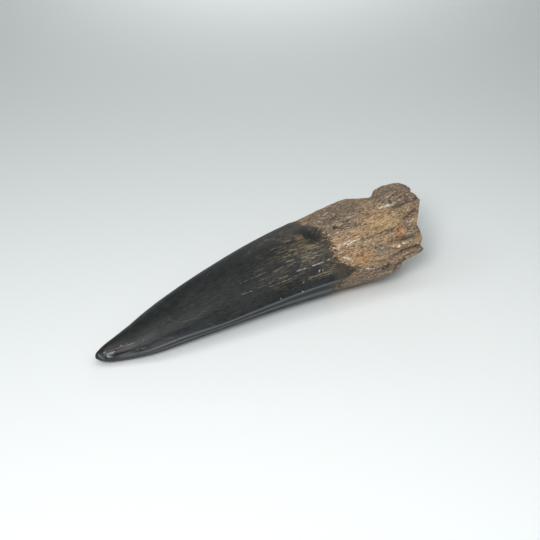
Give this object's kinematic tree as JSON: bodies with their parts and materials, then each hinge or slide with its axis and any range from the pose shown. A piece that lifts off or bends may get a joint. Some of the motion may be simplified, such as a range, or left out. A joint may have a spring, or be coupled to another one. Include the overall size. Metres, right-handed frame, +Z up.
{
  "type": "fossil dinosaur tooth",
  "caption": "Large conical fossil tooth lying on its side, with a glossy black enamel crown, faint cutting edges and a rough brown root that ends in a ragged break.",
  "frame": {"origin": "on the surface that the tooth lies on, under the middle of its bounding box", "axes": "+X along the tooth from the tip of the crown to the broken root, +Z up; the near cutting edge faces -Y"},
  "size_m": [0.106, 0.0336, 0.0231],
  "materials": {
    "fossil_tooth": "Mineralised tooth: the crown is smooth, glossy, near-black enamel with tan streaks towards its base, and the root is matt, rough, grained brown bone."
  },
  "bodies": {
    "root": {"tooth": "fossil_tooth"}
  },
  "joints": []
}
